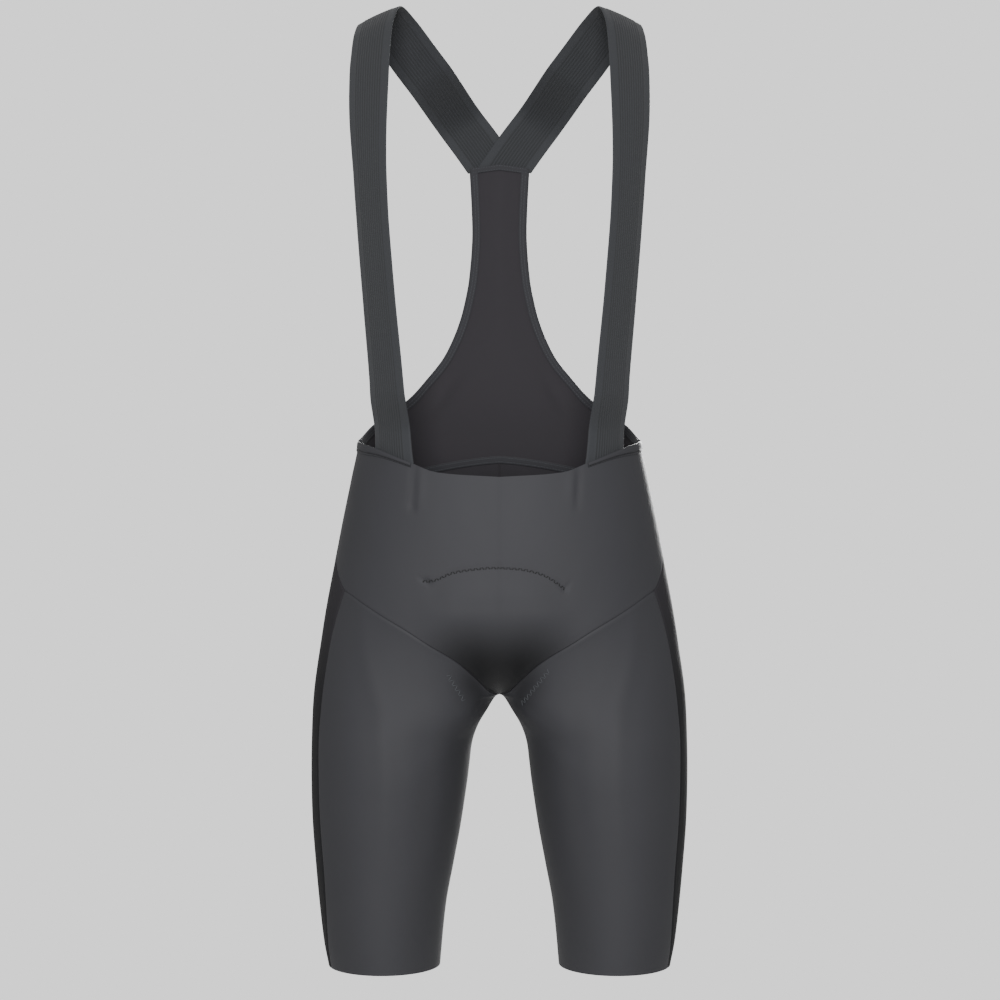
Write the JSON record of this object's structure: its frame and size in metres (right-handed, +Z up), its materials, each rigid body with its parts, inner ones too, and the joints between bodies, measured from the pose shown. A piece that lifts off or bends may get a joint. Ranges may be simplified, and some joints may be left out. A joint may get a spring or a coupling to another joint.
{
  "type": "cycling bib shorts",
  "caption": "Charcoal knit cycling bib shorts as worn, hollow, with a pointed front panel, dark side panels, a racer bib back and wide ribbed elastic straps",
  "frame": {"origin": "midway between the shoulders, level with the underside of the straps where they lie on them", "axes": "+X to the wearer's left, +Y to the back, +Z up"},
  "size_m": [0.3552, 0.2263, 0.9082],
  "materials": {
    "front_knit": "smooth matt knit with a soft sheen",
    "side_knit": "matt near-black knit",
    "bib_mesh": "fine light knit, matt",
    "strap_elastic": "ribbed woven elastic, matt",
    "binding_tape": "folded elastic tape, matt"
  },
  "bodies": {
    "root": {"front_panel": "front_knit", "leg_panel_left": "front_knit", "leg_panel_right": "front_knit", "back_panel_left": "side_knit", "back_panel_right": "side_knit", "bib_back": "bib_mesh", "strap_left": "strap_elastic", "strap_right": "strap_elastic", "edge_binding_left": "binding_tape", "edge_binding_right": "binding_tape", "waist_hem_left": "front_knit", "waist_hem_right": "front_knit", "yoke_tape": "binding_tape", "waist_seam_tape": "binding_tape"}
  },
  "joints": []
}
